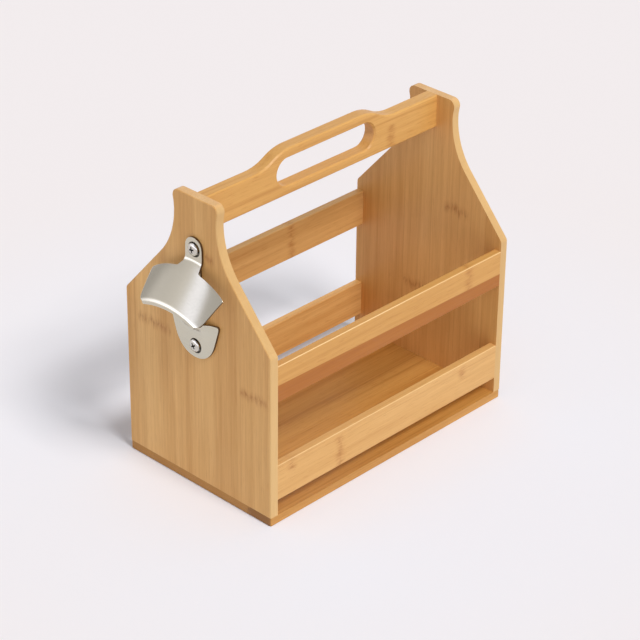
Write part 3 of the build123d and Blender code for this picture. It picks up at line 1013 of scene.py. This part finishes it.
@dataclass
class BottleOpener:
    """The pressed steel opener: an ear, a hood that arches over the cap, and a plate with the catch.

    Lengths are in metres and angles in degrees. Outs are measured from the sheet's face, away from the wood.
    A swell makes a cage wider than the round that it is smoothed to. Only what lies within the neck's half
    width and its margin goes on into the neck. Each catch row has a height and a share of the dip, and each
    sink ring a radius and an out.
    """

    wall: float = 0.115
    sheet: float = 0.0017
    ear_top: float = 0.190
    ear_half: float = 0.0076
    ear_swell: float = 1.026
    ear_low_angle: float = 67.5
    ear_top_angle: float = 45.0
    ear_low_share: float = 0.41
    ear_middle_share: float = 0.42
    fold: float = 0.1727
    fold_ease: float = 0.0015
    fold_half: float = 0.0078
    fold_rise: float = 0.0045
    root_pitch: float = 20.0
    hood_pitch: float = 50.0
    turn_radius: float = 0.018
    reach: float = 0.0233
    root_arch: float = 0.052
    lip_arch: float = 0.066
    setback: float = 0.0052
    hood_outs: tuple[float, ...] = (0.0214, 0.0193, 0.0150, 0.0103, 0.0067)
    hood_cells: int = 14
    neck_margin: float = 1.1
    neck_out: float = 0.0040
    neck_half: float = 0.0091
    waist_out: float = 0.0027
    waist_half: float = 0.0084
    back_half: float = 0.0329
    lip_half: float = 0.0279
    lip_corner: float = 0.004
    lip_depth: float = 0.0027
    lip_ease: float = 0.0010
    plate_foot: float = 0.1022
    plate_radius: float = 0.0184
    plate_swell: float = 1.0115
    plate_foot_angle: float = 42.0
    plate_taper: float = 17.0
    plate_low: float = 0.1112
    plate_middle: float = 0.1262
    plate_top: float = 0.1325
    plate_corner: float = 0.0020
    corner_margin: float = 0.0001
    catch_bend: float = 0.1225
    bend_below: float = 0.0010
    bend_above: float = 0.0012
    catch_reach: float = 0.008
    catch_half_share: float = 2 / 3
    catch_dip: float = 0.0022
    catch_rows: Rows = ((0.1298, 0.45), (0.1317, 0.9))
    strip_half: float = 0.006
    strip_lift: float = 0.0006
    strip_heights: Pair = (0.130, 0.150)
    screw_heights: Pair = (0.1818, 0.1109)
    sink_shift: float = 0.0006
    sink_rings: Rows = (
        (0.0028, -0.0025), (0.0028, -0.0014), (0.0043, -0.0012), (0.0054, 0.0), (0.0054, 0.002))
    edge_round: float = 0.00032
    smooth_levels: int = 3

    def at(self, out: float, across: float, height: float) -> Vector:
        """Return the place that is so far out of the sheet's face, across, and high."""
        return Vector((-self.wall - self.sheet - out, across, height))

    def flat_row(self, shares: tuple[float, ...], half: float, height: float) -> list[Vector]:
        """Return a level row of places on the flat sheet, at shares of half its width."""
        return [self.at(0, share * half, height) for share in shares]

    def crown_drop(self, out: float) -> float:
        """Work out how far the hood's crown line has dropped below the fold.

        Args:
            out: The distance out.

        Returns:
            The drop.
        """
        first, last = math.radians(self.root_pitch), math.radians(self.hood_pitch)
        turn_reach = self.turn_radius * (math.sin(last) - math.sin(first))
        turn_drop = self.turn_radius * (math.cos(first) - math.cos(last))
        if out > turn_reach:
            return turn_drop + (out - turn_reach) * math.tan(last)
        turned = math.sqrt(1 - (math.sin(first) + out / self.turn_radius) ** 2)
        return self.turn_radius * (math.cos(first) - turned)

    def hood_half(self, out: float) -> float:
        """Work out half the hood's width, with round corners at the lip.

        Args:
            out: The distance out.

        Returns:
            Half the width.
        """
        share = (out - self.setback) / (self.reach - self.setback)
        widest = self.back_half + share * (self.lip_half - self.back_half)
        return widest - corner_cut(self.lip_corner, out - self.reach)

    def arch_row(self, out: float, half: float, cells: int, drop: float = 0.0) -> list[Vector]:
        """Return a row of places on the hood's arch.

        Args:
            out: The row's distance out.
            half: Half the row's width.
            cells: How many cells the row has.
            drop: How far the row lies below the hood's own slope.

        Returns:
            The places, from the lowest Y to the highest.
        """
        arch = self.root_arch + (self.lip_arch - self.root_arch) * out / self.reach
        places = []
        for cell in range(cells + 1):
            across = half * (2 * cell / cells - 1)
            sag = arch - math.sqrt(arch**2 - across**2)
            places.append(self.at(out, across, self.fold - self.crown_drop(out) - sag - drop))
        return places

    def build_hood(self) -> Object:
        """Grow the sheet from the lip's edge over the hood, the neck and the fold to the ear's round top.

        Returns:
            The sheet's cage, still without its thickness.
        """
        cells = self.hood_cells
        lip, ease = [self.arch_row(self.reach, self.hood_half(self.reach), cells, drop)
                     for drop in (self.lip_depth, self.lip_ease)]
        cage = SheetCage("opener_hood", lip, ease)
        for out in (self.reach - self.lip_ease, *self.hood_outs, self.setback):
            cage.grow(self.arch_row(out, self.hood_half(out), cells))
        for out, half in ((self.neck_out, self.neck_half), (self.waist_out, self.waist_half),
                          (self.fold_ease, self.fold_half)):
            cage.grow(self.arch_row(out, half, len(HALVES) - 1), half_width=self.neck_margin * self.neck_half)
        centre = self.ear_top - self.ear_half
        for height in (self.fold + self.fold_ease, self.fold + self.fold_rise, centre):
            cage.grow(self.flat_row(HALVES, self.ear_half, height))
        side, rise = math.sin(math.radians(self.ear_low_angle)), math.cos(math.radians(self.ear_low_angle))
        rises = (rise, self.ear_low_share, self.ear_middle_share, self.ear_low_share, rise)
        low_row = [(share * side, up) for share, up in zip(HALVES, rises, strict=True)]
        turns = [math.radians(self.ear_top_angle * share) for share in HALVES]
        top_row = [(math.sin(turn), math.cos(turn)) for turn in turns]
        radius = self.ear_swell * self.ear_half
        for row in (low_row, top_row):
            cage.grow([self.at(0, across * radius, centre + up * radius) for across, up in row])
        return cage.close()

    def plate_half(self, height: float) -> float:
        """Work out half the lower plate's width.

        Args:
            height: The height.

        Returns:
            Half the width.
        """
        taper = math.radians(self.plate_taper)
        rise = height - self.plate_foot - self.plate_radius
        return (self.plate_radius + rise * math.sin(taper)) / math.cos(taper)

    def plate_row(self, height: float, dip: float = 0.0) -> list[Vector]:
        """Return a row of places on the lower plate, with round top corners and a catch that stands out.

        Args:
            height: The row's height at its ends.
            dip: How far its middle lies lower.

        Returns:
            The places, from the lowest Y to the highest.
        """
        places = []
        half = self.plate_half(height) - corner_cut(self.plate_corner, height - self.plate_top)
        for share in THIRDS:
            here = height - dip * (1 - share**2)
            above = max(0.0, here - self.catch_bend) / (self.plate_top - self.catch_bend)
            out = self.catch_reach * above * max(0.0, 1 - (share / self.catch_half_share) ** 2)
            places.append(self.at(out, share * half, here))
        return places

    def build_plate(self) -> Object:
        """Grow the lower plate from its round foot up to the catch's edge.

        Returns:
            The plate's cage, still without its thickness.
        """
        centre = self.plate_foot + self.plate_radius
        radius = self.plate_swell * self.plate_radius
        turns = [math.radians(self.plate_foot_angle * share) for share in THIRDS]
        foot = [self.at(0, radius * math.sin(turn), centre - radius * math.cos(turn)) for turn in turns]
        low_half = math.sqrt(self.plate_radius**2 - (centre - self.plate_low) ** 2)
        tangent = centre - self.plate_radius * math.sin(math.radians(self.plate_taper))
        cage = SheetCage("opener_plate", foot, self.flat_row(THIRDS, low_half, self.plate_low))
        for height in (tangent, self.catch_bend - self.bend_below, self.catch_bend + self.bend_above,
                       self.plate_middle):
            cage.grow(self.plate_row(height))
        for height, share in (*self.catch_rows, (self.plate_top, 1.0)):
            cage.grow(self.plate_row(height, share * self.catch_dip))
        cage.choose(lambda place: place.z > self.plate_top - self.corner_margin)
        bpy.ops.transform.vert_crease(value=1.0)
        return cage.close()

    def build_strip(self) -> Object:
        """Build the narrow strip on the wood that joins the hood's root to the lower plate.

        Returns:
            The strip, a sheet without thickness.
        """
        heights = (self.catch_bend + self.strip_lift, *self.strip_heights, self.fold - self.sheet)
        rows = [self.flat_row((-1, 0, 1), self.strip_half, height) for height in heights]
        cage = SheetCage("opener_strip", rows[0], rows[1])
        for row in rows[2:]:
            cage.grow(row)
        return cage.close()

    def thicken(self, piece: Object, levels: int) -> None:
        """Smooth a sheet, give it its thickness behind its face, and round its cut edges.

        Args:
            piece: The sheet.
            levels: How many times it is subdivided.
        """
        activate(piece)
        bpy.ops.object.mode_set(mode="EDIT")
        bpy.ops.mesh.select_all(action="SELECT")
        bpy.ops.mesh.normals_make_consistent(inside=False)
        facing = sum((face.normal.z - face.normal.x) * face.calc_area()
                     for face in bmesh.from_edit_mesh(piece.data).faces)
        if facing < 0:
            bpy.ops.mesh.flip_normals()
        bpy.ops.object.mode_set(mode="OBJECT")
        if levels:
            modify(piece, "SUBSURF", levels=levels, render_levels=levels)
        # The rims take the second finish, the cut edges' painted shade
        modify(piece, "SOLIDIFY", thickness=self.sheet, offset=-1.0, use_even_offset=True,
               material_offset_rim=1)
        modify(piece, "BEVEL", width=self.edge_round, segments=2, limit_method="ANGLE",
               angle_limit=EDGE_ANGLE)

    def build(self, steel: tuple[Material, Material], sink: Material) -> Object:
        """Build the opener in one piece and cut its countersunk holes.

        Args:
            steel: The finishes of the sheet's faces and of its cut edges, whose dark tone is painted shade.
            sink: The countersinks' finish, darker: painted shade.

        Returns:
            The opener.
        """
        hood, plate, strip = self.build_hood(), self.build_plate(), self.build_strip()
        for piece, levels in ((hood, self.smooth_levels), (plate, self.smooth_levels), (strip, 0)):
            for finish in steel:
                piece.data.materials.append(finish)
            self.thicken(piece, levels)
        for piece, height in zip((hood, plate), self.screw_heights, strict=True):
            cutter = turn("sink", self.at(0, -self.sink_shift, height), LEFT, self.sink_rings)
            # The countersink's faces take the darker finish: painted shade
            cutter.data.materials.append(sink)
            cut(piece, cutter)
        activate(hood)
        plate.select_set(True)
        strip.select_set(True)
        bpy.ops.object.join()
        bpy.ops.object.shade_smooth_by_angle(angle=SMOOTH_ANGLE)
        hood.name = "opener_sheet"
        return hood


@dataclass(frozen=True)
class SteelParts:
    """The opener and the screws, modelled in full and set where their plain solids are.

    Lengths are in metres and turns in degrees.
    """

    sheet: SteelFinish = SteelFinish("brushed_sheet_steel", (209, 205, 188), Axis.Y, 0.0000012, 0.18, 0.03)
    heads: SteelFinish = SteelFinish("polished_screw_steel", (212, 209, 200), Axis.Z, 0.000005, 0.20)
    plated: SteelFinish = SteelFinish("plated_screw_steel", (205, 206, 208), Axis.Z, 0.000005, 0.30)
    # The recess's dark tone is painted shade
    recess: SteelFinish = SteelFinish("screw_recess_painted_shade", (84, 80, 76), Axis.Z, 0.000005, 0.55)
    # The countersinks' darker tone is painted shade
    sink: SteelFinish = SteelFinish("countersink_painted_shade", (136, 131, 123), Axis.Z, 0.000002, 0.30)
    # The cut edges' dark brown tone is painted shade
    edge: SteelFinish = SteelFinish("cut_edge_painted_shade", (118, 106, 92), Axis.Z, 0.000004, 0.34)
    screw: CrossScrew = CrossScrew(
        "opener_screw",
        ((0.0006, -0.0069), (0.0020, -0.0049), (0.0020, -0.0015), (0.0042, 0.0002), (0.0044, 0.0006),
         (0.0041, 0.00105), (0.0033, 0.00145), (0.0021, 0.0017), (0.0008, 0.00185)),
        crown=0.0017, recess_length=0.0054, recess_width=0.0014, recess_depth=0.0017)
    screw_turns: tuple[float, float] = (12, 32)
    base_screw: CrossScrew = CrossScrew(
        "base_screw",
        ((0.0003, -0.020), (0.0012, -0.017), (0.0012, -0.0012), (0.0021, -0.0001), (0.0021, 0.0),
         (0.0010, 0.0)),
        crown=0.0, recess_length=0.0026, recess_width=0.0006, recess_depth=0.0010)
    base_head_half: float = 0.0022
    base_turn: float = 31

    def build(self, nodes: dict[str, Object]) -> None:
        """Build the steel pieces in place of their plain solids.

        Args:
            nodes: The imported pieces, by name.
        """
        sheet = self.sheet.build()
        dress(nodes["bottle_opener"], sheet)
        opener = BottleOpener()
        opener_sheet = opener.build((sheet, self.edge.build()), self.sink.build())
        place_piece(opener_sheet, "bottle_opener")
        heads, plated, recess = self.heads.build(), self.plated.build(), self.recess.build()
        dress(nodes["opener_screws"], heads)
        dress(nodes["base_screws"], plated)
        for number, (height, angle) in enumerate(zip(opener.screw_heights, self.screw_turns, strict=True), 1):
            piece = self.screw.build(opener.at(0, 0, height), LEFT, angle, heads, recess)
            piece.name = f"opener_screw_{number}"
            place_piece(piece, "opener_screws")
        low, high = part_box("base_screws")
        lengthwise = (low.x + self.base_head_half, high.x - self.base_head_half)
        crosswise = (low.y + self.base_head_half, high.y - self.base_head_half)
        for number, (along, across) in enumerate(product(lengthwise, crosswise), 1):
            place = Vector((along, across, low.z))
            piece = self.base_screw.build(place, DOWN, self.base_turn * number, plated, recess)
            piece.name = f"base_screw_{number}"
            place_piece(piece, "base_screws")


def place_piece(piece: Object, node: str) -> None:
    """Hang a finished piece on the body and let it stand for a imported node.

    Args:
        piece: The piece.
        node: The node that it stands for.
    """
    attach(piece, BODY)
    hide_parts(node)
    log.info("%s stands for %s, with %d faces", piece.name, node, len(piece.data.polygons))


def dress(piece: Object, material: Material) -> None:
    """Give a piece one material in all its slots.

    Args:
        piece: The piece.
        material: The material.
    """
    for slot in piece.material_slots:
        slot.material = material
    log.info("%s wears %s", piece.name, material.name)


def main() -> None:
    """Build the caddy's looks around its fixed frame, piece by piece."""
    logging.basicConfig(level=logging.INFO, format="%(name)s: %(message)s")
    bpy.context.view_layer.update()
    bpy.ops.object.select_all(action="DESELECT")
    Studio().build()
    BambooBody().build(frame["nodes"])
    SteelParts().build(frame["nodes"])
    bpy.context.scene.view_settings.view_transform = "Standard"


if __name__ == "__main__":
    main()
